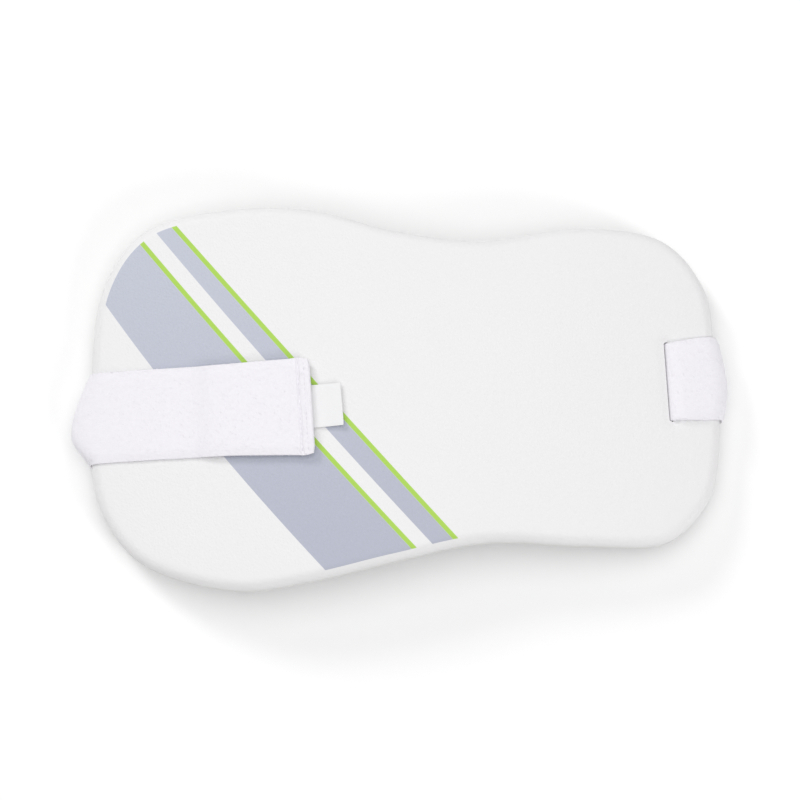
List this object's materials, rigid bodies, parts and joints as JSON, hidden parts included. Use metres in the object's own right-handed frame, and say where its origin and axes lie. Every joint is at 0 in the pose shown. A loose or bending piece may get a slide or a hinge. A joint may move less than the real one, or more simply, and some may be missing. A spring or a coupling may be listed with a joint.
{
  "type": "cricket chest guard",
  "caption": "Bowed foam chest pad with a waisted outline and a striped face cover, held round the chest by one wide elastic strap that closes on the front with a hook patch.",
  "frame": {"origin": "on the surface that the guard lies on, under the middle of its box", "axes": "+X along the pad towards the end with the strap slot, +Y towards the pad's upper edge, +Z out of the striped face"},
  "size_m": [0.3538, 0.2066, 0.041],
  "materials": {
    "foam": "white moulded closed-cell foam",
    "printed_face": "white grained synthetic leather with printed grey and lime stripes",
    "elastic": "white brushed loop elastic",
    "hook": "white hook tape",
    "satin": "white satin label tape, blank"
  },
  "bodies": {
    "root": {"foam_core": "foam", "face_cover": "printed_face", "elastic_strap": "elastic", "hook_patch": "hook", "care_label": "satin"}
  },
  "joints": []
}
